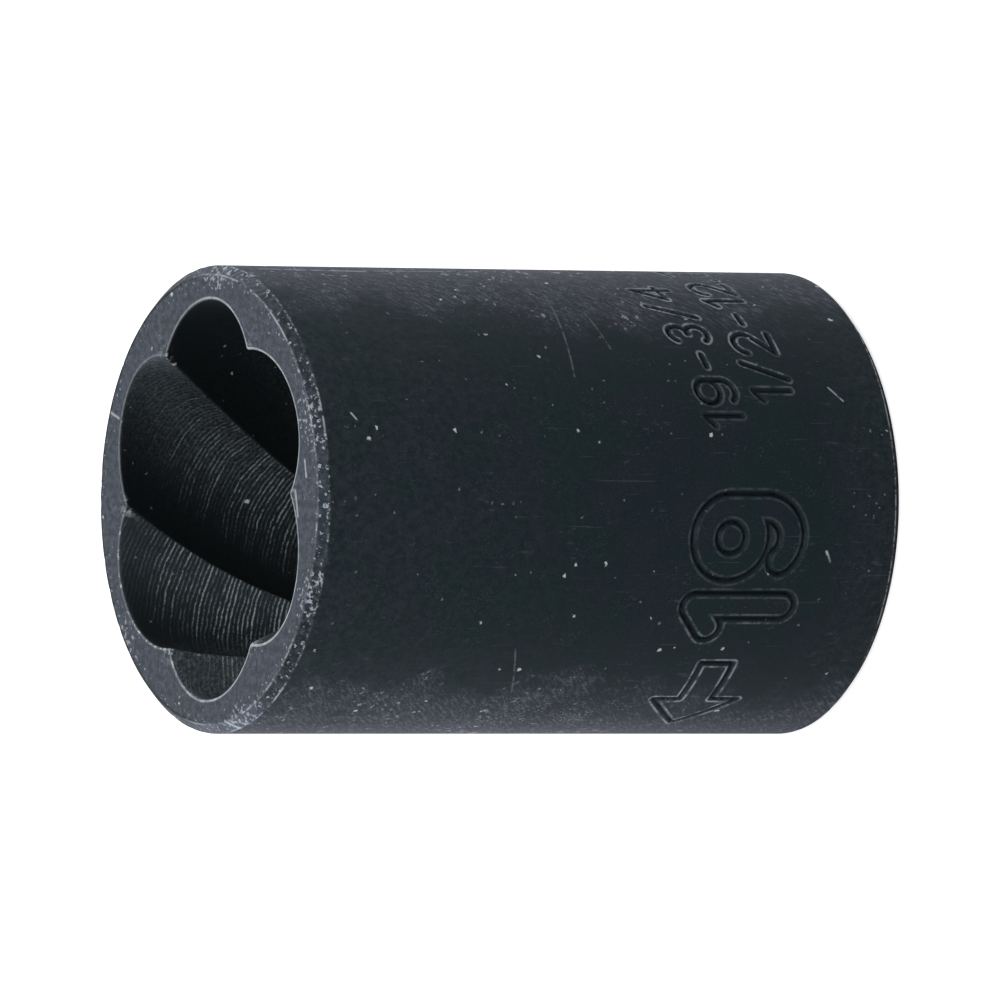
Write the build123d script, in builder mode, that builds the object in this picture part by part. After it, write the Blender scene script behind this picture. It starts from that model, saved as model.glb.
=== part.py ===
from build123d import *
import math
import os

# Nut extractor socket for a worn or rounded 19 mm hexagon nut.
# It is one forged and turned piece of hardened steel. It stands on its drive end,
# with the origin at the centre of that face and the fluted mouth facing +Z.
# All lengths are in millimetres and all angles in degrees.

# Turned body
body_diameter = 28.0
body_length = 40.0
mouth_chamfer = 0.55
drive_end_chamfer = 0.5

# Female square drive, half-inch size, in the lower end
drive_square = 12.8
drive_depth = 15.5
drive_corner_radius = 0.6
drive_lead_in = 1.2

# Ball dimples that hold the driver, one in the middle of each flat
detent_height = 8.0
detent_ball_radius = 3.0
detent_sink = 0.9

# Web between the drive square and the fluted bore, with its knock-out hole
web_thickness = 3.0
knock_out_diameter = 11.0
knock_out_chamfer = 0.4

# Fluted bore, measured at the mouth. The ridge diameter is that of the sharp ridges,
# before their tips are rounded, and the lean sets each root nearer to its steep flank.
flute_count = 6
flute_root_diameter = 23.86
ridge_diameter = 20.05
ridge_tip_radius = 0.3
flute_lean = 4.0
first_ridge_angle = 2.3
mouth_edge_break = 0.1

# How the bore changes on the way down: a left-hand twist and an even taper. The sections
# are so close that straight rulings between them stay within 0.02 mm of the true spiral.
flute_lead = 80.0
ridge_taper = 7.7
section_spacing = 1.25
cutter_overrun = 1.0

# Worked out from the sizes above
body_radius = body_diameter / 2
flute_floor_height = drive_depth + web_thickness
flute_depth = body_length - flute_floor_height
flute_pitch = 360 / flute_count
root_radius = flute_root_diameter / 2
ridge_radius = ridge_diameter / 2
lead_in_radius = drive_square / 2 + drive_lead_in
detent_centre_radius = drive_square / 2 + detent_sink - detent_ball_radius
section_count = math.ceil((flute_depth + cutter_overrun) / section_spacing) + 1


def polar(radius, angle):
    """A point of the section plane, from its radius and its angle in degrees."""
    return Vector(radius * math.cos(math.radians(angle)), radius * math.sin(math.radians(angle)))


def flank_radius(angle):
    """Radius of the arc that touches the root circle and ends on a ridge, angle away from the root."""
    reach = ridge_radius * math.cos(math.radians(angle))
    return (root_radius**2 + ridge_radius**2 - 2 * root_radius * reach) / (2 * (root_radius - reach))


def circles_meet(first_centre, first_radius, second_centre, second_radius):
    """The point where two circles cross, of the two the one further from the axis."""
    line = second_centre - first_centre
    distance = line.length
    along = (first_radius**2 - second_radius**2 + distance**2) / (2 * distance)
    across = math.sqrt(first_radius**2 - along**2)
    foot = first_centre + line * (along / distance)
    side = Vector(-line.Y, line.X) * (across / distance)
    return max(foot + side, foot - side, key=lambda point: point.length)


def middle_of_arc(centre, radius, start, end):
    """The point of an arc half way between its ends."""
    return centre + ((start + end) * 0.5 - centre).normalized() * radius


# One flute at the mouth, with its ridge at angle 0. Its steep flank runs from that ridge to
# the root, and its gentle flank from the root to the next ridge. The two arcs share a tangent
# at the root, and a small arc that touches both flanks rounds the tip of the ridge.
steep_angle = flute_pitch / 2 - flute_lean
gentle_angle = flute_pitch / 2 + flute_lean
steep_radius = flank_radius(steep_angle)
gentle_radius = flank_radius(gentle_angle)
steep_centre = polar(root_radius - steep_radius, steep_angle)
gentle_centre = polar(root_radius - gentle_radius, steep_angle)
previous_gentle_centre = polar(root_radius - gentle_radius, -gentle_angle)
tip_centre = circles_meet(
    steep_centre,
    steep_radius + ridge_tip_radius,
    previous_gentle_centre,
    gentle_radius + ridge_tip_radius,
)
tip_start = tip_centre + (previous_gentle_centre - tip_centre).normalized() * ridge_tip_radius
tip_middle = tip_centre - tip_centre.normalized() * ridge_tip_radius
tip_end = tip_centre + (steep_centre - tip_centre).normalized() * ridge_tip_radius
root_point = polar(root_radius, steep_angle)
next_tip_start = tip_start.rotate(Axis.Z, flute_pitch)
steep_middle = middle_of_arc(steep_centre, steep_radius, tip_end, root_point)
gentle_middle = middle_of_arc(gentle_centre, gentle_radius, root_point, next_tip_start)


def flute_outline(depth):
    """The bore's outline at a depth under the mouth, shrunk by the taper and turned by the twist."""
    shrink = 1 - depth * math.tan(math.radians(ridge_taper)) / ridge_radius
    twist = first_ridge_angle + 360 * depth / flute_lead
    with BuildLine() as outline:
        for index in range(flute_count):
            turn = twist + index * flute_pitch

            def place(point):
                return (point * shrink).rotate(Axis.Z, turn)

            ThreePointArc(place(tip_start), place(tip_middle), place(tip_end))
            ThreePointArc(place(tip_end), place(steep_middle), place(root_point))
            ThreePointArc(place(root_point), place(gentle_middle), place(next_tip_start))
    return outline.line


with BuildPart() as extractor_socket:
    # Turned blank with both outer edges chamfered
    with BuildSketch(Plane.XZ):
        with BuildLine():
            Polyline(
                (0, 0),
                (body_radius - drive_end_chamfer, 0),
                (body_radius, drive_end_chamfer),
                (body_radius, body_length - mouth_chamfer),
                (body_radius - mouth_chamfer, body_length),
                (0, body_length),
                close=True,
            )
        make_face()
    revolve(axis=Axis.Z)

    # Fluted bore, from the web up to just above the mouth
    for step in range(section_count):
        depth = flute_depth - step * (flute_depth + cutter_overrun) / (section_count - 1)
        with BuildSketch(Plane.XY.offset(body_length - depth)):
            make_face(flute_outline(depth).edges())
    loft(ruled=True, mode=Mode.SUBTRACT)
    mouth_face = extractor_socket.faces().filter_by(Plane.XY).sort_by(Axis.Z)[-1]
    chamfer(mouth_face.inner_wires()[0].edges(), length=mouth_edge_break)

    # Drive square
    with BuildSketch(Plane.XY):
        RectangleRounded(drive_square, drive_square, drive_corner_radius)
    extrude(amount=drive_depth, mode=Mode.SUBTRACT)

    # Knock-out hole through the web, with both rims broken
    with BuildSketch(Plane.XY.offset(drive_depth)):
        Circle(knock_out_diameter / 2)
    extrude(amount=web_thickness, mode=Mode.SUBTRACT)
    hole_rims = extractor_socket.edges(Select.LAST).filter_by(GeomType.CIRCLE)
    chamfer(hole_rims, length=knock_out_chamfer)

    # Turned lead-in at the mouth of the drive square
    Cone(
        lead_in_radius,
        lead_in_radius - 2 * drive_lead_in,
        2 * drive_lead_in,
        align=(Align.CENTER, Align.CENTER, Align.MIN),
        mode=Mode.SUBTRACT,
    )

    # Ball dimples, each turned so that the seam of its ball lies away from the flat
    with Locations((0, 0, detent_height)):
        with PolarLocations(detent_centre_radius, 4):
            Sphere(detent_ball_radius, rotation=(0, 0, 180), mode=Mode.SUBTRACT)

extractor_socket.part.label = "extractor_socket"

os.makedirs("parts", exist_ok=True)
export_step(extractor_socket.part, "parts/extractor_socket.step")
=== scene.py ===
# %% [markdown]
# # Nut extractor socket
#
# A nut extractor socket is one thick-walled steel cylinder. One end has a square hole for the
# ratchet. The other end has a mouth with six spiral flutes that grow narrower on the way down,
# so that their ridges bite into a worn nut. This notebook loads the measured solid, models its
# skin again with finer edges, engraved figures and wear, and lights it for one picture.

import math

import bpy
import numpy as np
from mathutils import Matrix, Vector


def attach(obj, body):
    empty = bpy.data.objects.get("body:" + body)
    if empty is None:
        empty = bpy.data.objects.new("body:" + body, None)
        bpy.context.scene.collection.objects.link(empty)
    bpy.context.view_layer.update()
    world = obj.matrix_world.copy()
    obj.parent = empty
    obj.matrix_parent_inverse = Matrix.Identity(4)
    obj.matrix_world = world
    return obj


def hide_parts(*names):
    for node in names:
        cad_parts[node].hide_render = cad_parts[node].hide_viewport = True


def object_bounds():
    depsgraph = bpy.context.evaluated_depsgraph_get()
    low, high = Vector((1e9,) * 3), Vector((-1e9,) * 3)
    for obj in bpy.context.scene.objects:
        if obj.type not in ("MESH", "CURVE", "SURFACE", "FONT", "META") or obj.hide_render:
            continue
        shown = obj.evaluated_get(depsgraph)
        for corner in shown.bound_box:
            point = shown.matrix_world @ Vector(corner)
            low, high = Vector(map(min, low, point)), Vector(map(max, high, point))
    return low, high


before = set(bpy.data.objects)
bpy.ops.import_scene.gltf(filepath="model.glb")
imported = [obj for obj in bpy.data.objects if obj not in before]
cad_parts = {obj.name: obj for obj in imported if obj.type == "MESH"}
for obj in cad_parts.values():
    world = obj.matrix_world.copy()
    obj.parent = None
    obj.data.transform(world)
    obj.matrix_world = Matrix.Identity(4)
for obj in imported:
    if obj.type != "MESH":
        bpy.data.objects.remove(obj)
solid_low, solid_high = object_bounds()
print("solid runs from", tuple(solid_low), "to", tuple(solid_high))

# %% [markdown]
# ## Sizes
#
# The two overall sizes are read from the solid. The others are the sizes that the maker would
# find on the drawing, in millimetres, turned into metres here because Blender works in metres.

# %% Sizes
MM = 0.001
body_radius = solid_high.x
body_length = solid_high.z
mouth_chamfer = 0.55 * MM
drive_end_chamfer = 0.5 * MM
edge_rounding = 0.1 * MM

drive_half = 6.4 * MM
drive_depth = 15.5 * MM
drive_corner = 0.6 * MM
drive_lead_in = 1.2 * MM
detent_height = 8.0 * MM
detent_ball = 3.0 * MM
detent_sink = 0.9 * MM

web_thickness = 3.0 * MM
hole_radius = 5.5 * MM
hole_chamfer = 0.4 * MM

flute_count = 6
root_radius = 11.93 * MM
ridge_radius = 10.025 * MM
ridge_tip = 0.3 * MM
flute_lean = math.radians(4.0)
first_ridge = math.radians(2.3)
flute_lead = 80.0 * MM
ridge_taper = math.radians(7.7)
mouth_rounding = 0.14 * MM

flute_pitch = 2 * math.pi / flute_count
flute_floor = drive_depth + web_thickness
flute_depth = body_length - flute_floor
print("flutes are", round(flute_depth / MM, 1), "mm deep")

# %% [markdown]
# ## Camera
#
# The object stands on its drive end, as it would on a bench, but the picture shows it lying on
# its side. So the camera is rolled by a quarter turn: the mouth points to the left of the frame.
# A very long lens from more than a metre away gives the flat look of a catalogue picture.

# %% Camera
camera_height = math.radians(29.63)
camera_distance = 1110.6 * MM
camera_roll = math.radians(0.4)
camera_focus = Vector((0.0, 0.09 * MM, body_length / 2 - 0.075 * MM))
image_pixels = 1000
focal_pixels = 18434

backwards = Vector((math.cos(camera_height), 0, math.sin(camera_height)))
right = Vector((0, 1, 0)).cross(backwards).normalized()
upwards = backwards.cross(right)
turn = Matrix.Rotation(camera_roll, 3, backwards)
right = turn @ right
upwards = turn @ upwards


def add_object(name, data):
    """A new object that holds the data, put into the scene."""
    added = bpy.data.objects.new(name, data)
    bpy.context.scene.collection.objects.link(added)
    return added


camera = add_object("camera", bpy.data.cameras.new("camera"))
camera.matrix_world = Matrix.Translation(camera_focus + backwards * camera_distance) @ Matrix(
    (right, upwards, backwards)
).transposed().to_4x4()
camera.data.sensor_width = 36.0
camera.data.lens = camera.data.sensor_width * focal_pixels / image_pixels
camera.data.clip_start = 0.1
camera.data.clip_end = 10.0
bpy.context.scene.camera = camera
print("lens", round(camera.data.lens, 1), "mm")

# %% [markdown]
# ## Rings
#
# Everything on this object goes round one axis, so its skin is a stack of closed rings: up the
# outside, over the mouth, down the flutes, through the hole and out of the drive square, back to
# where it began. A stretch of rings with the same number of points is a plain grid, worked out as
# whole arrays. Where the outside needs more points than the inside, two rings of different counts
# are zipped together with triangles, always on a flat or cylindrical face where it can't be seen.

# %% A list of stretches
FIELDS = ("edge", "rim", "chip", "face", "bore", "engraved", "lip", "cutter_path", "cutter_mark")
stretches = []


def add_stretch(name, angle, radius, height, **fields):
    """Adds rings, rows by columns. A field says how much each point belongs to a kind of surface."""
    angle, radius, height = np.broadcast_arrays(angle, radius, height)
    known = {key: np.broadcast_to(fields.get(key, 0.0), angle.shape) for key in FIELDS}
    stretches.append((angle, radius, height, known))
    print(name, "has", angle.shape[0], "rings of", angle.shape[1], "points")


# %% Angles
def even_angles(count):
    """Angles of a ring whose points are evenly spread."""
    return np.arange(count) / count * 2 * np.pi


def from_nearest(angle, pitch):
    """Angle from the nearest multiple of the pitch, from minus to plus half of it."""
    return (angle + pitch / 2) % pitch - pitch / 2


def crowded_angles(count, repeats, crowding):
    """Angles that crowd together at 0 and at each repeat: t minus crowding times its own sine."""
    t = even_angles(count)
    return t - crowding * np.sin(repeats * t) / repeats


# %% Faces between rings
def last_passed(on_ring, index):
    """For every place in the order of a turn, the last point of one ring that was passed."""
    place = np.maximum.accumulate(np.where(on_ring, np.arange(len(index)), -1))
    place[place < 0] = place[-1]
    return index[place]


def zip_rings(first_angle, second_angle, first_start, second_start):
    """Triangles between two rings. All points are sorted by angle, and each one makes a
    triangle with the point before it on its own ring and the last one passed on the other."""
    full = 2 * np.pi
    angle = np.concatenate([first_angle % full, second_angle % full])
    first_count, second_count = len(first_angle), len(second_angle)
    index = np.concatenate([np.arange(first_count), np.arange(second_count)])
    is_first = np.arange(len(angle)) < first_count
    order = np.argsort(angle, kind="stable")
    index, is_first = index[order], is_first[order]
    other_second = last_passed(~is_first, index) + second_start
    other_first = last_passed(is_first, index) + first_start
    before_first = (index - 1) % first_count + first_start
    before_second = (index - 1) % second_count + second_start
    here_first, here_second = index + first_start, index + second_start
    onward = np.stack([before_first, here_first, other_second], 1)[is_first]
    back = np.stack([other_first, here_second, before_second], 1)[~is_first]
    return np.concatenate([onward, back])


def grid_faces(rows, columns, start):
    """Four-sided faces of a stretch that is closed round the axis and open at both ends."""
    row, column = np.meshgrid(np.arange(rows - 1), np.arange(columns), indexing="ij")
    after = (column + 1) % columns
    corners = [row * columns + column, row * columns + after]
    corners += [(row + 1) * columns + after, (row + 1) * columns + column]
    return np.stack(corners, -1).reshape(-1, 4) + start


# %% [markdown]
# ## Turned outside
#
# The outside is a lathe shape: a straight wall with a chamfer at each end. Real chamfers never
# end in a perfect line, so each corner of the profile becomes a small arc. A ring just beside each
# arc keeps the flat faces flat when Blender smooths the shading. Handling has bruised the corners,
# so shallow nicks, each a bell curve along the ring, push the rounded edges in by a few hundredths
# of a millimetre. What is left of the oxide there is a matter for the material, further down.

# %% Profile with rounded corners
arc_steps = 3
beside_corner = 0.3


def rounded_profile(*corners):
    """Points along a bent line whose inner corners are arcs, and how close each is to a corner."""
    corners = np.array(corners)
    points, closeness = [corners[0]], [0.0]
    for before, corner, after in zip(corners, corners[1:], corners[2:]):
        into = (corner - before) / np.linalg.norm(corner - before)
        out = (after - corner) / np.linalg.norm(after - corner)
        bend = math.acos(np.clip(into @ out, -1, 1))
        reach = edge_rounding * math.tan(bend / 2)
        t = np.linspace(0, 1, arc_steps + 1)[:, None]
        start, end = corner - into * reach, corner + out * reach
        arc = (1 - t) ** 2 * start + 2 * t * (1 - t) * corner + t**2 * end
        points += [start - into * edge_rounding, *arc, end + out * edge_rounding]
        closeness += [beside_corner] + [1.0] * (arc_steps + 1) + [beside_corner]
    return np.array(points + [corners[-1]]), np.array(closeness + [0.0])


# %% Nicks along the edges
wall_columns = 400
nick_count = 60
nick_degrees = (0.4, 1.5)
nick_share = (0.2, 1.0)
random = np.random.default_rng(19)


def nicks(angle, count, deepest):
    """Depth of the bruises at each angle: bell curves of random place, width and depth."""
    place = random.uniform(0, 2 * np.pi, (count, 1))
    width = np.radians(random.uniform(*nick_degrees, (count, 1)))
    depth = deepest * random.uniform(*nick_share, (count, 1))
    away = from_nearest(angle[None, :] - place, 2 * np.pi)
    return (depth * np.exp(-((away / width) ** 2))).max(0)


def add_wall(name, profile, closeness, deepest, sinking):
    """A stretch of the turned wall, its rounded edges pushed in by nicks. Rows on the flat end
    also sink into it: down where sinking is 1, and up where it is -1."""
    angle = even_angles(wall_columns)
    bruise = nicks(angle, nick_count, deepest)[None, :] * (closeness[:, None] >= 1)
    add_stretch(
        name,
        angle[None, :],
        profile[:, :1] - bruise,
        profile[:, 1:] - bruise * sinking[:, None],
        edge=closeness[:, None],
        face=(profile[:, 1:] > body_length - edge_rounding / 2).astype(float),
    )


# %% [markdown]
# ## Engraved figures
#
# Plain size numbers are pressed into the wall near the drive end: the nut size in large outlined
# figures with an arrow for the way to turn, and the inch sizes in small ones. A figure is a few
# lines and arcs. The distance from a point of the wall to the nearest of them is a simple formula,
# and the groove is a curve of that distance: a valley with a low lip on both sides. For outlined
# figures the groove lies a set distance away from the lines, so it runs round them by itself.

# %% Figures: the width of each, its lines from point to point, and its arcs by centre and radius
FIGURES = {
    "1": (0.25, [(0.0, 0.78, 0.25, 1.0), (0.25, 1.0, 0.25, 0.0)], []),
    "2": (0.6, [(0.53, 0.51, 0.0, 0.0), (0.0, 0.0, 0.6, 0.0)], [(0.3, 0.7, 0.3, -40, 170)]),
    "3": (0.55, [], [(0.28, 0.75, 0.25, -90, 150), (0.28, 0.26, 0.26, -150, 90)]),
    "4": (0.6, [(0.45, 0, 0.45, 1), (0.45, 1, 0, 0.3), (0, 0.3, 0.6, 0.3)], []),
    "7": (0.58, [(0, 1, 0.58, 1), (0.58, 1, 0.2, 0)], []),
    "9": (0.6, [(0.6, 0.7, 0.6, 0.3)], [(0.3, 0.7, 0.3, 0, 360), (0.3, 0.3, 0.3, -140, 0)]),
    "-": (0.45, [(0.05, 0.47, 0.4, 0.47)], []),
    "/": (0.45, [(0.0, -0.05, 0.45, 1.05)], []),
    ".": (0.06, [(0.03, 0.0, 0.03, 0.001)], []),
}


# %% Distance to strokes
def line_distance(x, y, x0, y0, x1, y1):
    """Distance to a line: drop each point on it, clamped to its two ends."""
    along = ((x - x0) * (x1 - x0) + (y - y0) * (y1 - y0)) / ((x1 - x0) ** 2 + (y1 - y0) ** 2)
    along = np.clip(along, 0, 1)
    return np.hypot(x - x0 - along * (x1 - x0), y - y0 - along * (y1 - y0))


def arc_distance(x, y, centre_x, centre_y, radius, start, end):
    """Distance to an arc: to its circle inside the arc's span, and to its nearer end outside."""
    start, end = math.radians(start), math.radians(end)
    turned = (np.arctan2(y - centre_y, x - centre_x) - start) % (2 * np.pi)
    to_circle = np.abs(np.hypot(x - centre_x, y - centre_y) - radius)
    to_ends = [
        np.hypot(x - centre_x - radius * math.cos(a), y - centre_y - radius * math.sin(a))
        for a in (start, end)
    ]
    return np.where(turned <= end - start, to_circle, np.minimum(*to_ends))


def text_distance(x, y, text, left, base, height, gap, slope=0.0):
    """Distance to the strokes of a row of figures that starts at left and stands on base."""
    nearest = np.full(x.shape, 1.0)
    x = (x - left) / height
    y = (y - base - slope * x * height) / height
    for figure in text:
        width, lines, arcs = FIGURES[figure]
        for line in lines:
            nearest = np.minimum(nearest, line_distance(x, y, *line))
        for arc in arcs:
            nearest = np.minimum(nearest, arc_distance(x, y, *arc))
        x = x - width - gap
    return nearest * height


# %% Sizes of the grooves and rows of figures
large_groove = 0.4 * MM
small_groove = 0.36 * MM
groove_depth = 0.19 * MM
groove_lip = 0.04 * MM
lip_width = 0.08 * MM
bold_half_width = 0.85 * MM
large_row = dict(text="19", left=-7.9 * MM, base=7.65 * MM, height=6.0 * MM, gap=0.42)
small_rows = [
    dict(text="19-3/4", left=4.7 * MM, base=10.6 * MM, height=2.6 * MM, gap=0.32, slope=0.1),
    dict(text="1/2-12.7", left=6.4 * MM, base=6.9 * MM, height=2.6 * MM, gap=0.3, slope=0.04),
]
arrow_back = -10.6 * MM
arrow_length = 6.6 * MM
arrow_half_height = 2.9 * MM
shaft_half_height = 1.1 * MM
head_length = 3.2 * MM


# %% Arrow, and the depth of all grooves
def arrow_distance(x, y):
    """Distance to the outline of an arrow that points the way a seized nut is undone."""
    middle = large_row["base"] + large_row["height"] / 2
    tip = arrow_back - arrow_length
    neck = tip + head_length
    upper = [(tip, 0), (neck, arrow_half_height), (neck, shaft_half_height)]
    upper += [(arrow_back, shaft_half_height)]
    outline = upper + [(a, -b) for a, b in reversed(upper)]
    nearest = np.full(x.shape, 1.0)
    for start, end in zip(outline, outline[1:]):
        nearest = np.minimum(nearest, line_distance(x, y - middle, *start, *end))
    return nearest


def groove(distance, width):
    """Depth of a groove: half a cosine wave across it, and a bell curve for each lip."""
    across = np.clip(distance / (width / 2), 0, 1)
    lip = np.exp(-(((distance - width / 2 - lip_width) / lip_width) ** 2))
    return -groove_depth * (0.5 + 0.5 * np.cos(np.pi * across)) + groove_lip * lip


def figure_depth(x, y):
    """Depth of all the grooves, where x runs round the wall and y up it."""
    large = text_distance(x, y, **large_row)
    small = np.minimum(*(text_distance(x, y, **row) for row in small_rows))
    outlined = np.minimum(np.abs(large - bold_half_width), arrow_distance(x, y))
    return groove(outlined, large_groove) + groove(small, small_groove)


# %% [markdown]
# The wall is made of three stretches. The middle one holds the figures, so its rings and its
# columns lie 0.09 mm apart there, and its columns spread out again on the blank far side.

# %% Lower wall
figures_low, figures_high = 6.1 * MM, 15.3 * MM
fine_step = 0.09 * MM
drive_end_nick = 0.02 * MM
low_profile, low_closeness = rounded_profile(
    (body_radius - 2 * drive_end_chamfer, 0),
    (body_radius - drive_end_chamfer, 0),
    (body_radius, drive_end_chamfer),
    (body_radius, figures_low - 2 * fine_step),
)
low_sinking = np.where(low_profile[:, 1] < drive_end_chamfer / 2, -1.0, 0.0)
add_wall("lower wall", low_profile, low_closeness, drive_end_nick, low_sinking)

# %% Figured wall
figures_from, figures_to = math.radians(-77), math.radians(88)
blank_columns = 48
fine_count = round((figures_to - figures_from) * body_radius / fine_step)
fine = np.linspace(figures_from, figures_to, fine_count, endpoint=False)
blank = np.linspace(figures_to, figures_from + 2 * np.pi, blank_columns, endpoint=False)
figure_angle = np.concatenate([fine, blank])[None, :]
figure_height = np.arange(figures_low, figures_high, fine_step)[:, None]
signed_angle = from_nearest(figure_angle, 2 * np.pi)
depth = figure_depth(body_radius * signed_angle, figure_height + 0 * figure_angle)
add_stretch(
    "figured wall",
    figure_angle,
    body_radius + depth,
    figure_height,
    engraved=np.clip(-depth / groove_depth, 0, 1),
    lip=np.clip(depth / groove_lip, 0, 1),
)

# %% Upper wall
mouth_nick = 0.03 * MM
high_profile, high_closeness = rounded_profile(
    (body_radius, figures_high + fine_step),
    (body_radius, body_length - mouth_chamfer),
    (body_radius - mouth_chamfer, body_length),
    (body_radius - 1.5 * mouth_chamfer, body_length),
)
high_sinking = np.where(high_profile[:, 1] > body_length - mouth_chamfer / 2, 1.0, 0.0)
add_wall("upper wall", high_profile, high_closeness, mouth_nick, high_sinking)

# %% [markdown]
# ## Spiral flutes
#
# Seen from the mouth, one flute is two arcs that meet at its root, and a small arc rounds the tip
# of each ridge. A ray from the axis meets a circle at a distance that has a short formula, so the
# outline is a function of angle alone. Further down it shrinks evenly and turns left-handed, and
# each column of points follows its own spiral, so the ridges stay sharp along a line of points.
#
# The cutter worked its way down each flute by itself and left fine lines across it. They lean
# against the spiral, so a field on the points says how far along its path the cutter was: the
# depth, plus a share of the angle within the flute. Another says how clear the lines are: most just
# past each ridge and faint toward the next. The material uses it for the lines' bump and for their
# painted highlights, which stand in for light on the flank just past the ridge.

# %% Outline of the flutes
steep_angle = flute_pitch / 2 - flute_lean
gentle_angle = flute_pitch / 2 + flute_lean


def flank_radius(angle):
    """Radius of the arc that touches the root circle and ends on a ridge, angle from the root."""
    reach = ridge_radius * math.cos(angle)
    chord = root_radius**2 + ridge_radius**2 - 2 * root_radius * reach
    return chord / (2 * (root_radius - reach))


def polar(radius, angle):
    """A point of the section as a complex number."""
    return radius * complex(math.cos(angle), math.sin(angle))


steep_radius = flank_radius(steep_angle)
gentle_radius = flank_radius(gentle_angle)
steep_centre = polar(root_radius - steep_radius, steep_angle)
gentle_centre = polar(root_radius - gentle_radius, steep_angle)
gentle_before = polar(root_radius - gentle_radius, -gentle_angle)

# %% Tip of a ridge: its circle touches both flanks from outside, so two distances give its centre
span = gentle_before - steep_centre
to_steep, to_gentle = steep_radius + ridge_tip, gentle_radius + ridge_tip
along = (to_steep**2 - to_gentle**2 + abs(span) ** 2) / (2 * abs(span))
across = math.sqrt(to_steep**2 - along**2)
candidates = [steep_centre + span / abs(span) * complex(along, side) for side in (across, -across)]
tip_centre = max(candidates, key=abs)
print("ridge tips are rounded", round(abs(tip_centre) / MM, 2), "mm from the axis")


# %% The outline as a function of angle
def ray_to_circle(angle, centre, radius, side):
    """Distance from the axis to a circle along a ray: near crossing for side -1, far for 1."""
    away = angle - np.angle(centre)
    inside = np.maximum(radius**2 - (abs(centre) * np.sin(away)) ** 2, 0)
    return abs(centre) * np.cos(away) + side * np.sqrt(inside)


def outline_radius(angle, grow):
    """Radius of the mouth's outline at an angle from a ridge, grown outwards by a small amount."""
    angle = angle % flute_pitch
    wrapped = from_nearest(angle, flute_pitch)
    tip = ridge_tip - grow
    starts = np.angle(tip_centre + (gentle_before - tip_centre) / to_gentle * tip)
    ends = np.angle(tip_centre + (steep_centre - tip_centre) / to_steep * tip)
    steep = ray_to_circle(angle, steep_centre, steep_radius + grow, 1)
    gentle = ray_to_circle(angle, gentle_centre, gentle_radius + grow, 1)
    rounded = ray_to_circle(wrapped, tip_centre, tip, -1)
    flank = np.where(angle < steep_angle, steep, gentle)
    return np.where((wrapped > starts) & (wrapped < ends), rounded, flank)


# %% Rows of the flutes: a little of the face, the mouth's rounded edge, and down to the web
flute_rows = 56
face_margin = 0.6 * MM
quarter = np.linspace(0, np.pi / 2, 5)
beside_edge = np.array([face_margin] + [share * mouth_rounding for share in (2.4, 1.9, 1.4)])
grow = np.concatenate([beside_edge, mouth_rounding * (1 - np.sin(quarter))])
edge_depth = np.concatenate([0 * beside_edge, mouth_rounding * (1 - np.cos(quarter))])[:, None]
wall_depth = np.linspace(mouth_rounding, flute_depth, flute_rows + 1)[1:, None]
depth = np.concatenate([edge_depth, wall_depth])
grow = np.concatenate([grow[:, None], 0 * wall_depth])
print("depth goes from 0 to", round(float(depth[-1, 0]) / MM, 1), "mm")

# %% Flutes
flute_columns = 56
ridge_crowding = 0.8
crest_width = math.radians(0.8)
crest_edge = 0.5
rim_middle, rim_spread = 0.9, 0.6
chip_size = 0.4 * MM
cutter_lean = 4.0 * MM
mark_at_ridge, mark_fall, mark_least = 1.35, 1.75, 0.08

around = crowded_angles(flute_count * flute_columns, flute_count, ridge_crowding)[None, :]
radius = np.concatenate([outline_radius(around, float(g)) for g in grow[:, 0]])
shrink = 1 - depth * math.tan(ridge_taper) / ridge_radius
ridge_away = np.abs(from_nearest(around, flute_pitch))
crest = np.exp(-((ridge_away / crest_width) ** 2))
twist = 2 * np.pi * depth / flute_lead
on_rim = (grow > 0) * np.exp(-(((grow / mouth_rounding - rim_middle) / rim_spread) ** 2))
from_corner = np.hypot(ridge_away * ridge_radius, depth + grow)
past_ridge = (around % flute_pitch) / flute_pitch
add_stretch(
    "flutes",
    around + first_ridge + twist,
    radius * shrink,
    body_length - depth,
    edge=crest_edge * crest * (depth > mouth_rounding),
    rim=on_rim,
    chip=np.exp(-((from_corner / chip_size) ** 2)),
    face=(depth == 0).astype(float),
    bore=(depth > mouth_rounding / 2).astype(float),
    cutter_path=(depth + cutter_lean * (around % flute_pitch + twist)) / MM,
    cutter_mark=np.clip(mark_at_ridge - mark_fall * past_ridge, mark_least, 1),
)

# %% [markdown]
# ## Web and drive square
#
# Between the flutes and the square sits a thin web with a round hole, where a punch can knock a
# jammed nut out. The square has rounded corners, a turned lead-in at its mouth and a round dimple
# in each flat for the ratchet's ball. A ray from the axis gives the radius of each: the flat is its
# distance over a cosine, the corner and the ball are circles, and the largest of them wins.

# %% Hole through the web
hole_columns = 144
hole_profile, hole_closeness = rounded_profile(
    (hole_radius + 2 * hole_chamfer, flute_floor),
    (hole_radius + hole_chamfer, flute_floor),
    (hole_radius, flute_floor - hole_chamfer),
    (hole_radius, drive_depth + hole_chamfer),
    (hole_radius + hole_chamfer, drive_depth),
    (hole_radius + 2 * hole_chamfer, drive_depth),
)
add_stretch(
    "hole",
    even_angles(hole_columns)[None, :],
    hole_profile[:, :1],
    hole_profile[:, 1:],
    edge=hole_closeness[:, None],
)

# %% Square and dimples
quarter_turn = math.pi / 2


def square_radius(angle):
    """Radius of a rounded square: flat distance over the cosine, or the corner's circle."""
    folded = from_nearest(angle, quarter_turn)
    flat = drive_half / np.cos(folded)
    inset = drive_half - drive_corner
    corner_from = math.atan2(inset, drive_half)
    corner = ray_to_circle(np.abs(folded), complex(inset, inset), drive_corner, 1)
    return np.where(np.abs(folded) < corner_from, flat, corner)


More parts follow.
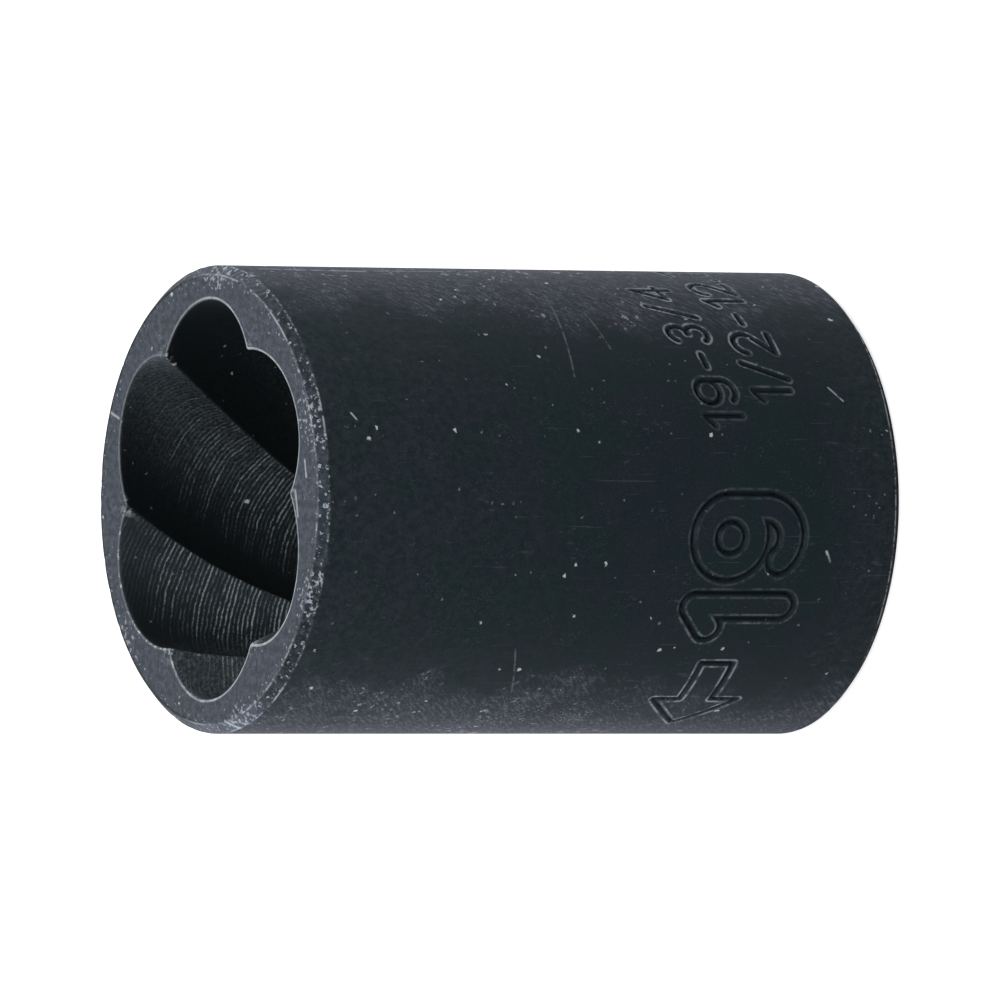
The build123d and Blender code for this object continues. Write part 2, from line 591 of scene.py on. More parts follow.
def dimple_radius(angle, height):
    """Radius of the ball that makes the dimple in the middle of each flat, or 0 beside it."""
    folded = from_nearest(angle, quarter_turn)
    centre = drive_half + detent_sink - detent_ball
    inside = detent_ball**2 - (height - detent_height) ** 2 - (centre * np.sin(folded)) ** 2
    reach = centre * np.cos(folded) + np.sqrt(np.maximum(inside, 0))
    return np.where(inside > 0, reach, 0)


# %% Drive square, from the web down to the lead-in at its mouth
square_columns = 240
corner_crowding = 0.75
corner_angle = quarter_turn / 2
around = crowded_angles(square_columns, 4, corner_crowding)[None, :] + corner_angle
dimple_half = 2.4 * MM
dimple_top, dimple_bottom = detent_height + dimple_half, detent_height - dimple_half
rows_above, rows_across, rows_below = 6, 34, 5
height = np.concatenate(
    [
        np.linspace(drive_depth, dimple_top, rows_above),
        np.linspace(dimple_top, dimple_bottom, rows_across)[1:],
        np.linspace(dimple_bottom, 2 * drive_lead_in, rows_below)[1:],
    ]
)[:, None]
wall = square_radius(around)
radius = np.maximum(wall, dimple_radius(around, height))
lead_in_radius = drive_half + drive_lead_in
least_step = 0.02 * MM
break_height = np.clip(lead_in_radius - wall, least_step, None)
height = np.concatenate([height + 0 * around, break_height, 0 * around])
radius = np.concatenate([radius, wall, np.maximum(wall, lead_in_radius)])
lead_in_edge = 0.8
edge = np.zeros(height.shape)
edge[-2:] = lead_in_edge
add_stretch("drive square", around, radius, height, edge=edge)

# %% [markdown]
# ## One closed mesh
#
# The stretches are joined in their order, and the last one is zipped to the first, so the skin
# closes on itself. The fields are kept on the points, for the material to read.

# %% Join the stretches
counts = [stretch[0].shape for stretch in stretches]
starts = np.concatenate([[0], np.cumsum([rows * columns for rows, columns in counts])])
quads, triangles = [], []
for index, (rows, columns) in enumerate(counts):
    quads.append(grid_faces(rows, columns, starts[index]))
    follower = (index + 1) % len(stretches)
    last_ring = starts[index] + (rows - 1) * columns
    angles = stretches[index][0][-1], stretches[follower][0][0]
    triangles.append(zip_rings(*angles, last_ring, starts[follower]))
quads, triangles = np.concatenate(quads), np.concatenate(triangles)

angle = np.concatenate([stretch[0].ravel() for stretch in stretches])
radius = np.concatenate([stretch[1].ravel() for stretch in stretches])
height = np.concatenate([stretch[2].ravel() for stretch in stretches])
points = np.stack([radius * np.cos(angle), radius * np.sin(angle), height], 1)

# %% Make the mesh
smooth_up_to = math.radians(50)
mesh = bpy.data.meshes.new("socket_body")
mesh.from_pydata(points.tolist(), [], quads.tolist() + triangles.tolist())
for key in FIELDS:
    values = np.concatenate([stretch[3][key].ravel() for stretch in stretches])
    attribute = mesh.attributes.new(key, "FLOAT", "POINT")
    attribute.data.foreach_set("value", values.astype(np.float32))
mesh.shade_smooth()
mesh.set_sharp_from_angle(angle=smooth_up_to)
mesh.update()
print("mesh has", 2 * len(quads) + len(triangles), "triangles")

# %% The piece rides on the body and stands for the solid
socket = add_object("socket_body", mesh)
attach(socket, "root")
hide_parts("extractor_socket")

# %% [markdown]
# ## Helpers for materials
#
# A material is a small program of nodes. Here the output of a node is wrapped in a class that knows
# how to add, subtract and multiply, each by adding one more node, so the recipes below read like
# formulas. Patterns use Object coordinates turned into millimetres, so a noise scale of 2 means two
# lumps to the millimetre.

# %% Values that can be written in formulas
class Value:
    """The output of a node."""

    def __init__(self, socket):
        self.socket = socket

    def __add__(self, other):
        return calc("ADD", self, other)

    def __sub__(self, other):
        return calc("SUBTRACT", self, other)

    def __rsub__(self, other):
        return calc("SUBTRACT", other, self)

    def __mul__(self, other):
        return calc("MULTIPLY", self, other)


def fill_inputs(node, inputs):
    """Sets each named input to a plain number or colour, or links it to a value."""
    for name, value in inputs.items():
        if isinstance(value, Value):
            node.id_data.links.new(value.socket, node.inputs[name])
        else:
            node.inputs[name].default_value = value


def add_node(tree, kind, inputs=None, **settings):
    """Adds a shader node with its settings and inputs."""
    node = tree.nodes.new("ShaderNode" + kind)
    for name, setting in settings.items():
        setattr(node, name, setting)
    fill_inputs(node, inputs or {})
    return node


def value_of(tree, kind, output, inputs=None, **settings):
    """The value that a new node puts out."""
    return Value(add_node(tree, kind, inputs, **settings).outputs[output])


def tree_of(values):
    """The tree of nodes that some values come from. Plain numbers among them have none."""
    return next(value.socket.id_data for value in values if isinstance(value, Value))


def empty_tree(owner):
    """The cleared node tree of a material or of the world."""
    owner.use_nodes = True
    owner.node_tree.nodes.clear()
    return owner.node_tree


# %% Sums and patterns
def calc(operation, *values):
    """One sum on numbers, such as MAXIMUM or POWER."""
    inputs = dict(enumerate(values))
    return value_of(tree_of(values), "Math", 0, inputs, operation=operation)


def vector_calc(operation, *values, **more):
    """One sum on vectors. A length, a distance or a dot product is a number."""
    inputs = {**dict(enumerate(values)), **more}
    output = "Value" if operation in ("LENGTH", "DISTANCE", "DOT_PRODUCT") else "Vector"
    return value_of(tree_of(inputs.values()), "VectorMath", output, inputs, operation=operation)


def between(value, low, high, start=0.0, end=1.0):
    """Rises smoothly from start to end as the value goes from low to high."""
    inputs = {"Value": value, "From Min": low, "From Max": high, "To Min": start, "To Max": end}
    return value_of(tree_of([value]), "MapRange", "Result", inputs, interpolation_type="SMOOTHSTEP")


def noise(vector, scale, detail=2.0, roughness=0.5):
    """Cloudy noise between 0 and 1."""
    inputs = {"Vector": vector, "Scale": scale, "Detail": detail, "Roughness": roughness}
    return value_of(tree_of([vector]), "TexNoise", "Fac", inputs)


def mix_colour(amount, first, second):
    """From the first colour to the second."""
    inputs = {0: amount, 6: first, 7: second}
    return value_of(tree_of([amount]), "Mix", 2, inputs, data_type="RGBA")


# %% Node groups
VECTOR_SOCKETS = ("Vector", "Start", "End")


def new_group(name, inputs, outputs="Mask"):
    """An empty node group, the values it is given, and the node that its results go into."""
    tree = bpy.data.node_groups.new(name, "ShaderNodeTree")
    for in_out, names in (("INPUT", inputs), ("OUTPUT", outputs)):
        for key in names.split():
            kind = "NodeSocketVector" if key in VECTOR_SOCKETS else "NodeSocketFloat"
            tree.interface.new_socket(name=key, in_out=in_out, socket_type=kind)
    sources = tree.nodes.new("NodeGroupInput").outputs
    given = [Value(sources[key]) for key in inputs.split()]
    return tree, given, tree.nodes.new("NodeGroupOutput")


def use_group(group, **inputs):
    """Places a group beside the values that it reads, and hands back its outputs by name."""
    node = add_node(tree_of(inputs.values()), "Group", inputs, node_tree=group)
    return {output.name: Value(output) for output in node.outputs}


# %% [markdown]
# ## Effects of the finish
#
# The steel is blackened in hot oxide salts, which leaves a dark, slightly uneven skin. Where it
# has been knocked, bare metal shows as bright crumbs along the edges. Dust and lint lie on the
# oily surface as tiny pale specks. Each effect is a node group of its own. It puts out a mask,
# which is 0 where the effect is missing, and the material below decides what the mask does to the
# colour. Only the ring's group puts out a distance instead, for the wear to read.

# %% Dust specks: each cell may hold one, and a noise pushes its outline out of round
specks, (vector, spacing, size, share), result = new_group(
    "dust_specks", "Vector Spacing Size Share"
)
ragged = value_of(specks, "TexNoise", "Color", {"Vector": vector, "Scale": 5.0, "Detail": 1.0})
centred = vector_calc("SUBTRACT", ragged, (0.5, 0.5, 0.5))
shifted = vector_calc("ADD", vector, vector_calc("SCALE", centred, Scale=0.3))
per_mm = calc("DIVIDE", 1.0, spacing)
cells = add_node(specks, "TexVoronoi", {"Vector": shifted, "Scale": per_mm}).outputs
near = between(Value(cells["Distance"]) * spacing, size, size * 0.5)
chance = value_of(specks, "SeparateColor", 0, {"Color": Value(cells["Color"])})
fill_inputs(result, {"Mask": near * calc("LESS_THAN", chance, share)})

# %% Distance to a ring round the axis, for the edges that were turned on the lathe
ring_distance, (vector, ring_radius, ring_height), result = new_group(
    "ring_distance", "Vector Radius Height", "Distance"
)
from_axis = vector_calc("LENGTH", vector_calc("MULTIPLY", vector, (1, 1, 0)))
up = value_of(ring_distance, "SeparateXYZ", "Z", {"Vector": vector})
aside = calc("POWER", from_axis - ring_radius, 2.0)
above = calc("POWER", up - ring_height, 2.0)
fill_inputs(result, {"Distance": calc("SQRT", aside + above)})

# %% [markdown]
# Wear along an edge has two parts: a broken bright line on the edge itself, and crumbs beside it
# that grow rarer with the distance. Both follow the same cloudy noise, so where the line is whole
# there are more crumbs. A larger share of wear lowers the limit of both, and a knock that of the
# crumbs alone.

# %% Bare metal along worn edges
edge_wear, (vector, apart, width, reach, share, knock), result = new_group(
    "edge_wear", "Vector Distance Width Reach Share Knock"
)
spread = noise(vector, 0.42, 3.0, 0.6) * 0.9 + noise(vector, 3.4, 3.0, 0.75) * 0.6
limit = 1.3 - share
worn_line = between(apart, width, 0.0) * between(spread, limit, limit + 0.12)
closeness = between(apart, reach, 0.0)
crumb = noise(vector, 4.4, 2.0, 0.6) + spread * 0.3 + closeness * 0.2
crumb_limit = 1.36 - share * 0.3 - knock * 0.13
crumbs = between(crumb, crumb_limit, crumb_limit + 0.05) * closeness
fill_inputs(result, {"Mask": calc("MAXIMUM", worn_line, crumbs)})

# %% Ragged marks: the peaks of a noise, all above a level
ragged_marks, (vector, scale, level, softness), result = new_group(
    "ragged_marks", "Vector Scale Level Softness"
)
peaks = noise(vector, scale, 3.0, 0.6)
fill_inputs(result, {"Mask": between(peaks, level, level + softness)})

# %% One scratch between two points, broken by a noise but never fainter than the least
scratch, (vector, start, end, width, least), result = new_group(
    "scratch", "Vector Start End Width Least"
)
whole = vector_calc("SUBTRACT", end, start)
part = vector_calc("SUBTRACT", vector, start)
squared = vector_calc("DOT_PRODUCT", whole, whole)
along = calc("DIVIDE", vector_calc("DOT_PRODUCT", part, whole), squared)
along = value_of(scratch, "Clamp", 0, {"Value": along})
foot = vector_calc("SCALE", whole, Scale=along)
near = between(vector_calc("DISTANCE", part, foot), width, 0.0)
broken = between(noise(vector, 1.6, 3.0), 0.35, 0.55)
fill_inputs(result, {"Mask": near * calc("MAXIMUM", broken, least)})

# %% [markdown]
# The cutter's lines are a cosine wave along its path. Two noises shake the path, so the lines waver.
# Each line has a strength of its own, fades along its length and is torn into short pieces.

# %% Lines that the cutter left across the flutes
tool_marks, (vector, path, pitch), result = new_group(
    "tool_marks", "Vector Path Pitch", "Mask Height"
)
steps = calc("DIVIDE", path, pitch) + noise(vector, 0.45) * 1.5 + noise(vector, 2.4) * 0.45
ridge = between(calc("COSINE", steps * (2 * math.pi)), -0.15, 1.0)
this_line = calc("FLOOR", steps + 0.5)
luck = value_of(tool_marks, "TexWhiteNoise", "Value", {"W": this_line}, noise_dimensions="1D")
luck = between(luck, 0.0, 1.0, 0.35, 1.1)
line_shift = value_of(tool_marks, "CombineXYZ", 0, {"X": this_line * 3.7})
drift = vector_calc("ADD", vector_calc("SCALE", vector, Scale=1.1), line_shift)
fading = between(noise(drift, 1.0, 3.0, 0.6), 0.3, 0.56, 0.2, 1.0)
torn = between(noise(vector, 6.0), 0.34, 0.62, 0.45, 1.15)
fill_inputs(result, {"Mask": ridge * luck * fading * torn, "Height": ridge})
print("node groups:", ", ".join(group.name for group in bpy.data.node_groups))

# %% [markdown]
# ## Blackened steel
#
# One material covers the whole socket. It is built in layers, each laid on the one below: first
# the oxide, nearly black, with patches that lean to green and to violet; then the rubbed sides with
# their painted sheen, the cut face round the mouth, which looks like grey slate, and the flutes with
# their cutter's lines and the lines' painted highlights; and last the bright crumbs of bare metal
# and the dust. Painted highlights also lie along the outline, on the figures' lips and on the
# flutes' rim, and painted shade lies in the grooves and on the far edges. Only the grain and the
# cutter's lines are bumps as well. Crumbs and flecks are too small to show one, and Blender works
# out the whole height of a bump three times for every point.

# %% Coordinates and the kinds of surface
steel = bpy.data.materials.new("blackened_steel")
tree = empty_tree(steel)
coordinates = value_of(tree, "TexCoord", "Object")
place_mm = vector_calc("SCALE", coordinates, Scale=1 / MM)
edge, rim, chip, face, bore, engraved, lip, cutter_path, cutter_mark = (
    value_of(tree, "Attribute", "Fac", attribute_name=key) for key in FIELDS
)
outside = 1.0 - calc("MAXIMUM", face, bore)
x, y, z = map(Value, add_node(tree, "SeparateXYZ", {"Vector": place_mm}).outputs)
round_wall = calc("ARCTAN2", y, x) * (body_radius / MM)
unrolled = value_of(tree, "CombineXYZ", 0, {"X": round_wall, "Y": z})
print("fields on the points:", ", ".join(FIELDS))


# %% Layers
def shade(colour, factor):
    """A colour made lighter or darker by a factor."""
    return vector_calc("SCALE", colour, Scale=factor)


def lay_over(colour, mask, strength, top_colour):
    """A layer of paint: the top colour where its mask is, at a given strength."""
    return mix_colour(mask * strength, colour, top_colour)


def marks(vector, scale, level, softness):
    """The mask of one set of ragged marks."""
    amounts = {"Scale": scale, "Level": level, "Softness": softness}
    return use_group(ragged_marks, Vector=vector, **amounts)["Mask"]


def scratch_mask(vector, start, end, width, least=0.0):
    """The mask of one scratch. Its ends are points of a plane."""
    ends = {"Start": (*start, 0), "End": (*end, 0)}
    return use_group(scratch, Vector=vector, **ends, Width=width, Least=least)["Mask"]


# %% Oxide on the wall
oxide_green = (0.0046, 0.0112, 0.0126, 1)
oxide_violet = (0.0080, 0.0102, 0.0148, 1)
mottle = between(noise(place_mm, 0.2, 3.0), 0.4, 0.6)
grain = noise(place_mm, 12.0, 2.0, 0.6)
colour = mix_colour(mottle, oxide_green, oxide_violet)
colour = shade(colour, between(grain, 0.25, 0.75, 0.4, 1.75))

# %% [markdown]
# ## Rubbed sides and painted sheen
#
# The socket has rolled about in a drawer, which wore a band along each of its two sides. These sides
# are the top and the bottom of the picture, where the lamps graze the wall, and the bands' violet
# bloom is painted sheen as well as wear. A slow noise moves the border of the bands in and out. The
# bloom is deeper on the side that is lower in the picture. The bands also get strokes that all lean
# one way, as on a surface that was wiped. Such strokes are an even noise, read through turned and
# squeezed coordinates of the unrolled wall.

# %% Violet bloom, a painted sheen, and leaning strokes
sheen_violet = (0.036, 0.034, 0.052, 1)
stroke_violet = (0.16, 0.165, 0.21, 1)
stroke_lean = math.radians(40)
stroke_size = (0.8, 0.2, 1.0)
side = calc("ABSOLUTE", y)
wander = noise(place_mm, 0.22, 4.0, 0.6) * 9.0
rubbed_and_sheen = between(side + wander, 14.9, 17.7) * outside
# Painted sheen: a violet bloom on the sides at the top and bottom of the picture.
colour = lay_over(colour, rubbed_and_sheen, 0.35, sheen_violet)
# More painted sheen, on the side that is lower in the picture.
lower_sheen = between(y - wander, -16.1, -18.9) * outside
colour = lay_over(colour, lower_sheen, 0.5, sheen_violet)
leaning = {"Vector": unrolled, "Rotation": (0, 0, stroke_lean), "Scale": stroke_size}
along_strokes = value_of(tree, "Mapping", 0, leaning, vector_type="TEXTURE")
strokes = between(noise(along_strokes, 1.0, 3.0, 0.7), 0.46, 0.66) * rubbed_and_sheen
colour = lay_over(colour, strokes, 0.55, stroke_violet)

# %% [markdown]
# On the bands lie bright flecks, which gather in clusters, and a fine salt of tiny dots. Like the
# bloom, they sit where the lamps graze the wall, so they are partly wear and partly painted glints.
# Toward the outermost line of each side the flecks crowd into a painted highlight along the outline.
# The salt is densest where the middle of the lower side was dragged, and a trace of it lies on the
# scuffed places of the whole wall.

# %% Flecks and fine salt, partly painted glints
fleck_and_glint_white = (0.42, 0.43, 0.48, 1)
drag_middle = 20.0
# Painted highlight: more flecks along the outermost line of each side, the outline in the picture.
outline_glint = between(side, 13.3, 13.9, 0.0, 0.05)
clusters = between(noise(place_mm, 0.3, 3.0, 0.6), 0.4, 0.6, 0.0, 0.1)
rubbed_and_sheen_most = rubbed_and_sheen * between(z, 13.0, 18.0, 0.3, 1.0)
flecks = marks(place_mm, 2.2, 0.71 - clusters - outline_glint, 0.05) * rubbed_and_sheen_most
colour = lay_over(colour, flecks, 0.9, fleck_and_glint_white)
salt = marks(place_mm, 6.0, 0.58, 0.07)
clouds = noise(place_mm, 0.5, 3.0)
dragged = between(calc("ABSOLUTE", z - drag_middle), 7.0, 4.0) * between(y, -11.2, -13.0)
dragged = dragged * between(clouds, 0.4, 0.6)
colour = lay_over(colour, salt * dragged * outside, 0.7, fleck_and_glint_white)
scuffed = between(clouds, 0.52, 0.66, 0.03, 0.25)
salt = salt * calc("MAXIMUM", rubbed_and_sheen_most, scuffed)
colour = lay_over(colour, salt * outside, 0.22, fleck_and_glint_white)

# %% Painted highlight along the lowest line, smudges and hairlines. The last two are noises drawn out along the axis
grey_wear_and_highlight = (0.085, 0.092, 0.105, 1)
# Painted highlight: a paler broken line along the lowest outline in the picture.
lowest_highlight = between(y, -13.5, -13.95) * between(noise(place_mm, 0.8, 3.0), 0.35, 0.65)
upright_mm = vector_calc("MULTIPLY", place_mm, (1.0, 1.0, 0.35))
thread_mm = vector_calc("MULTIPLY", place_mm, (5.0, 5.0, 0.22))
smudges = marks(upright_mm, 2.6, 0.62, 0.1)
smudges = smudges * between(clouds, 0.45, 0.6)
hairlines = marks(thread_mm, 1.0, 0.66, 0.06)
for mask in (lowest_highlight, smudges, hairlines):
    colour = lay_over(colour, mask * outside, 0.3, grey_wear_and_highlight)

# %% Long scratches on the unrolled wall, two of them a painted highlight: two ends in millimetres, a width and a paint
scratch_grey = (0.12, 0.13, 0.145, 1)
scratch_and_highlight_white = (0.62, 0.64, 0.66, 1)
scratches_and_highlight_lines = [
    ((15.2, 20.7), (7.9, 21.6), 0.1, scratch_grey),
    ((13.9, 19.0), (10.0, 18.4), 0.1, scratch_grey),
    ((-9.5, 25.0), (-13.5, 23.6), 0.1, scratch_grey),
    # These two are a painted highlight: a broken bright line along the axis near the top outline.
    ((19.5, 37.9), (19.1, 31.0), 0.22, fleck_and_glint_white),
    ((19.3, 30.2), (19.5, 24.6), 0.16, fleck_and_glint_white),
    ((7.3, 4.2), (6.4, 3.4), 0.1, fleck_and_glint_white),
    ((-2.9, 5.15), (-3.5, 4.85), 0.14, scratch_and_highlight_white),
    ((5.3, 37.5), (4.9, 37.2), 0.1, scratch_and_highlight_white),
]
for start, end, width, paint in scratches_and_highlight_lines:
    mask = scratch_mask(unrolled, start, end, width)
    colour = lay_over(colour, mask * outside, 0.9, paint)
print("long scratches:", len(scratches_and_highlight_lines))

# %% [markdown]
# The grooves of the figures are darkened toward black, which is painted shade in the recesses. The
# lips beside them stand proud and get a painted highlight in patches, strongest toward the sides at
# the top and bottom of the picture, where the lamps graze the wall.

# %% Grooves of the figures: painted shade in them, painted highlights on their lips
painted_shade_black = (0.0015, 0.002, 0.0025, 1)
colour = lay_over(colour, between(engraved, 0.2, 0.8), 0.9, painted_shade_black)
patch_noise = noise(place_mm, 1.3, 4.0, 0.7)
lip_highlight = between(lip, 0.2, 0.8) * between(patch_noise, 0.4, 0.58, 0.15, 1.0)
lip_highlight = lip_highlight * between(side, 5.0, 12.0, 0.1, 0.8)
colour = lay_over(colour, lip_highlight, 1.0, fleck_and_glint_white)

# %% [markdown]
# ## Cut face and chamfer
#
# The flat face round the mouth was ground after the flutes were cut, and its oxide is a thin grey,
# like slate. The chamfer beside it keeps the black of the wall, with paler blotches. Falls have
# left a few knocked places round the mouth, each a soft spot where crumbs of bare metal crowd.

# %% Grey slate
slate_green = (0.050, 0.064, 0.072, 1)
slate_violet = (0.108, 0.111, 0.142, 1)
blotches = noise(place_mm, 2.2, 4.0, 0.7)
slate_cloud = between(blotches, 0.36, 0.64)
slate = mix_colour(slate_cloud, slate_green, slate_violet)
slate = shade(slate, between(grain, 0.25, 0.75, 0.72, 1.25))
colour = mix_colour(face, colour, slate)
chamfer = between(z, 39.4, 39.5) * outside
chamfer_pale = between(blotches, 0.42, 0.68, 0.02, 0.28)
colour = lay_over(colour, chamfer, chamfer_pale, slate_violet)

# %% Knocked places: where each is, seen from above, and how far it reaches
knocks = [(12.4, -5.9, 2.6), (11.6, 4.6, 3.0), (-10.0, -8.0, 3.5), (4.0, -13.0, 2.0)]
knocks += [(1.0, 13.4, 2.5)]
flat_place = vector_calc("MULTIPLY", place_mm, (1, 1, 0))
knocked = 0.0
for knock_x, knock_y, knock_reach in knocks:
    apart = vector_calc("DISTANCE", flat_place, (knock_x, knock_y, 0))
    knocked = calc("MAXIMUM", knocked, between(apart, knock_reach, 0.0))
crumb_level = between(vector_calc("LENGTH", flat_place), 12.3, 13.4, 0.665, 0.6)
face_crumbs = marks(place_mm, 3.3, crumb_level - knocked * 0.1, 0.05)
near_end = calc("MAXIMUM", face, chamfer)
colour = lay_over(colour, face_crumbs * near_end, 0.9, fleck_and_glint_white)
print("knocked places:", len(knocks))

# %% Scratches on the face, between two points seen from above
face_scratches = [((11.9, 2.35), (12.1, 1.4)), ((10.8, 0.55), (11.1, -0.95))]
face_scratches += [((-12.5, 5.3), (-11.2, 4.85)), ((2.3, -13.2), (3.3, -13.7))]
near_top = between(z, 39.3, 39.4)
for start, end in face_scratches:
    mask = scratch_mask(flat_place, start, end, 0.15, least=0.8)
    colour = lay_over(colour, mask * near_top, 0.9, scratch_and_highlight_white)
print("scratches on the face:", len(face_scratches))

# %% [markdown]
# ## Inside the flutes
#
# The flutes are black, and only the cutter's lines catch the light. Their pale colour is a painted
# highlight of that light. It is faint just below the mouth, and it fades toward the gentle flank of
# each flute and in the highest and lowest flutes of the picture, where less light falls. Pale dust
# has settled in those two flutes.

# %% Lines across the flutes, and their painted highlights
mark_pitch_mm = 0.28
cutter_lines = use_group(tool_marks, Vector=place_mm, Path=cutter_path, Pitch=mark_pitch_mm)
below_mouth = body_length / MM - z
# Painted highlight: where the pale lines show follows where light falls in the flutes.
lines = cutter_lines["Mask"] * between(below_mouth, 0.6, 4.0, 0.22, 1.0) * cutter_mark
lines = lines * between(y, 0.0, 8.0, 1.0, 0.3) * between(y, -7.5, -9.5, 1.0, 0.7)
line_height = cutter_lines["Height"] * cutter_mark * bore

# %% Black of the flutes, with dust in those that are highest and lowest in the picture
bore_black = (0.0115, 0.0145, 0.0160)
bore_dust = (0.092, 0.103, 0.110, 1)
line_highlight_pale = (0.40, 0.44, 0.45, 1)
dusty_high = between(y, -1.0, 3.0) * between(x, -3.0, -7.0) * cutter_mark
dusty_low = between(y, -8.0, -9.5)
dusty = between(noise(place_mm, 5.0, 3.0, 0.7), 0.4, 0.66)
dusty = dusty * calc("MAXIMUM", dusty_high, dusty_low)
flute_colour = shade(bore_black, between(grain, 0.25, 0.75, 0.5, 1.6))
flute_colour = lay_over(flute_colour, dusty, 0.6, bore_dust)
flute_colour = lay_over(flute_colour, between(lines, 0.0, 1.0), 0.75, line_highlight_pale)
colour = mix_colour(bore, colour, flute_colour)

# %% [markdown]
# ## Edges
#
# Bare metal shows on all four turned edges, most at the mouth, and where two flutes meet at the
# mouth's rim. On the far side, away from the camera, the edges get fewer bright crumbs and a painted
# shade that is darker than the wall. The rounded rim of the flutes has a bright line that is wear
# and painted highlight, brightest on the side toward the camera, with loose beads of metal along its
# lower part.

# %% Bare metal: each turned edge has a radius, a height, a width, a reach and a share of wear
bright_steel = (0.46, 0.48, 0.50, 1)
turned_edges = [
    (body_radius, body_length - mouth_chamfer, 0.1, 0.6, 0.56),
    (body_radius - mouth_chamfer, body_length, 0.1, 0.5, 0.58),
    (body_radius, drive_end_chamfer, 0.09, 0.3, 0.62),
    (body_radius - drive_end_chamfer, 0.0, 0.08, 0.3, 0.5),
]
# Away from the camera the edges get fewer bright crumbs and a line of painted shade.
far_side_shade = between(x, 0.0, -4.0)
far_side_dimming = 1.0 - far_side_shade * 0.7
knocked_mouth = knocked * between(z, 38.0, 39.0)
wear = chip * marks(place_mm, 2.2, 0.5, 0.06)
for edge_radius, edge_height, width, reach, share in turned_edges:
    ring = {"Radius": edge_radius / MM, "Height": edge_height / MM}
    apart = use_group(ring_distance, Vector=place_mm, **ring)["Distance"]
    amounts = {"Width": width, "Reach": reach, "Share": share, "Knock": knocked_mouth}
    worn = use_group(edge_wear, Vector=place_mm, Distance=apart, **amounts)["Mask"]
    wear = calc("MAXIMUM", wear, worn * far_side_dimming)
    # Painted shade: a dark line along each turned edge on the far side.
    colour = lay_over(colour, between(apart, 0.24, 0.12) * far_side_shade, 0.8, painted_shade_black)
crest_wear = edge * slate_cloud * 0.1
wear = calc("MAXIMUM", wear, crest_wear)
colour = mix_colour(wear, colour, bright_steel)
print("turned edges:", len(turned_edges))

# %% Bright line round the rim of the flutes, wear and painted highlight, with beads of bare metal
# Painted highlight: the line is brighter on the side toward the camera.
rim_highlight_line = between(patch_noise, 0.35, 0.6, 0.6, 1.0) * between(x, -7.0, 4.0, 0.3, 1.0)
rim_beads = marks(place_mm, 2.2, 0.54, 0.05) * between(y, 2.0, -4.0)
rim_highlight_and_beads = between(rim, 0.3, 0.8) * calc("MAXIMUM", rim_highlight_line, rim_beads)
colour = lay_over(colour, rim_highlight_and_beads, 0.9, scratch_and_highlight_white)

# %% [markdown]
# ## Dust and shine
#
# Dust lies on top of everything, so it comes last. A fine faint layer and a coarse bright one use
# the same group with other numbers. Then one shader takes the colour. The grain sets its roughness
# and, with the cutter's lines, its bump, so both break up the gleam of the lamps. Only the bare
# steel along the edges is metallic.

# %% Dust: the spacing, size, share and strength of each layer
dust_white = (0.62, 0.62, 0.60, 1)
for spacing, size, share, strength in ((0.7, 0.1, 0.15, 0.25), (1.2, 0.16, 0.24, 1.0)):
    dust = use_group(specks, Vector=place_mm, Spacing=spacing, Size=size, Share=share)["Mask"]
    colour = lay_over(colour, dust, strength, dust_white)

# %% Surface of the steel
height = grain * 0.15 + line_height * 0.5
bump = {"Height": height, "Strength": 0.6, "Distance": 0.03 * MM}
finish = {
    "Base Color": colour,
    "Roughness": between(grain, 0.2, 0.8, 0.42, 0.6),
    "Metallic": wear * 0.6,
    "Normal": value_of(tree, "Bump", "Normal", bump),
    "Specular IOR Level": 0.24,
    "Specular Tint": (0.66, 0.90, 1.0, 1),
}
shader = value_of(tree, "BsdfPrincipled", "BSDF", finish)
add_node(tree, "OutputMaterial", {"Surface": shader})
mesh.materials.append(steel)
print("the steel has", len(tree.nodes), "nodes")

# %% [markdown]
# ## Floor, surround and lamps
#
# The picture has a pure white ground. The floor is a pale matt plane that keeps the socket's soft
# shadow, and a plain white glow is added where the camera or a reflection looks at it. The lamps
# are soft panels round the socket, each placed by its compass direction and its height. A pair
# behind it lights the rims of the wall, and one high in front lights the cut face.

# %% Floor
floor_half = 1.5
floor_mesh = bpy.data.meshes.new("floor")
corners = [(-1, -1), (1, -1), (1, 1), (-1, 1)]
floor_mesh.from_pydata([(x * floor_half, y * floor_half, 0) for x, y in corners], [], [(0, 1, 2, 3)])
floor = add_object("floor", floor_mesh)


def seen_directly(tree, reflected):
    """1 for rays from the camera or through glass, and a set share for those off shiny surfaces."""
    path = add_node(tree, "LightPath").outputs
    shiny = Value(path["Is Glossy Ray"]) * reflected
    shiny = calc("MAXIMUM", shiny, Value(path["Is Transmission Ray"]))
    return calc("MAXIMUM", Value(path["Is Camera Ray"]), shiny)


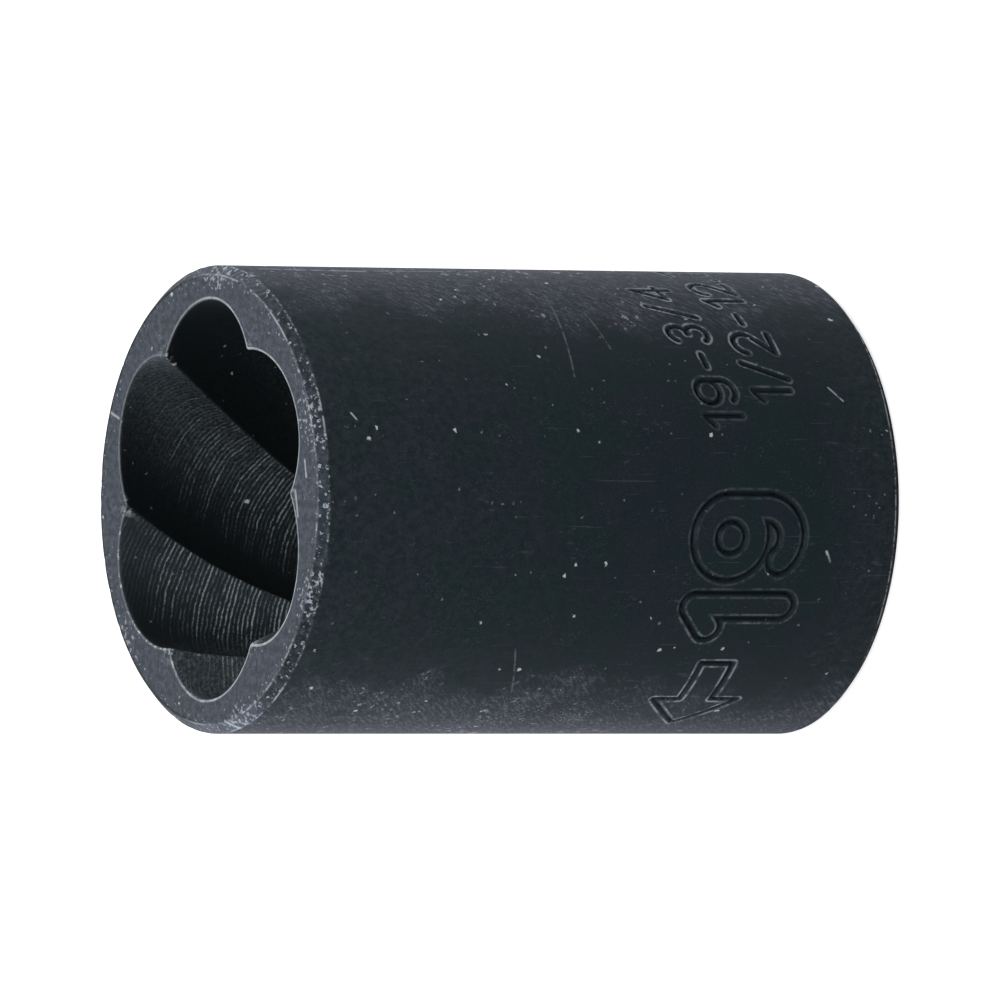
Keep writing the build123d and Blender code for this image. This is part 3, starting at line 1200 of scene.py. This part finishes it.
floor_glow = 0.8
floor_paint = bpy.data.materials.new("floor_white")
tree = empty_tree(floor_paint)
matt = value_of(tree, "BsdfDiffuse", 0, {"Color": (0.8, 0.8, 0.8, 1)})
from_axis = vector_calc("LENGTH", value_of(tree, "TexCoord", "Object"))
uncovered = calc("GREATER_THAN", from_axis, body_radius - drive_end_chamfer)
strength = seen_directly(tree, 0.0) * uncovered * floor_glow
glow = value_of(tree, "Emission", 0, {"Strength": strength})
both = value_of(tree, "AddShader", 0, {0: matt, 1: glow})
add_node(tree, "OutputMaterial", {"Surface": both})
floor_mesh.materials.append(floor_paint)

# %% Surround
surround_level = 0.1
reflected_share = 0.4
world = bpy.data.worlds.new("surround")
bpy.context.scene.world = world
tree = empty_tree(world)
strength = seen_directly(tree, reflected_share) * (1 - surround_level) + surround_level
sky = value_of(tree, "Background", 0, {"Color": (1, 1, 1, 1), "Strength": strength})
add_node(tree, "OutputWorld", {"Surface": sky})

# %% Lamps
socket_middle = Vector((0, 0, body_length / 2))
lamp_distance = 0.65
lamp_width = 0.4
lamp_white = (0.94, 0.975, 1.0)
lamp_violet = (0.80, 0.86, 1.0)


def soft_lamp(name, azimuth, elevation, brightness, colour=lamp_white):
    """A square panel that faces the socket. Its power follows from how bright it looks."""
    data = bpy.data.lights.new(name, "AREA")
    data.shape = "SQUARE"
    data.size = lamp_width
    data.color = colour
    data.energy = brightness * math.pi * lamp_width**2
    azimuth, elevation = math.radians(azimuth), math.radians(elevation)
    flat = math.cos(elevation)
    away = Vector((math.cos(azimuth) * flat, math.sin(azimuth) * flat, math.sin(elevation)))
    lamp = add_object(name, data)
    lamp.location = socket_middle + away * lamp_distance
    lamp.rotation_euler = (-away).to_track_quat("-Z", "Y").to_euler()
    lamp.visible_camera = False


# %% Six panels: the azimuth and elevation in degrees, and how bright each looks
soft_lamp("left_rim_panel", 135, 8, 2.3, lamp_violet)
soft_lamp("right_rim_panel", -135, 8, 3.6, lamp_violet)
soft_lamp("left_side_panel", 75, 8, 0.5)
soft_lamp("right_side_panel", -75, 8, 1.9)
soft_lamp("front_panel", 0, 60, 4.0)
soft_lamp("left_high_panel", 90, 65, 2.2)
bpy.context.scene.view_settings.view_transform = "Standard"
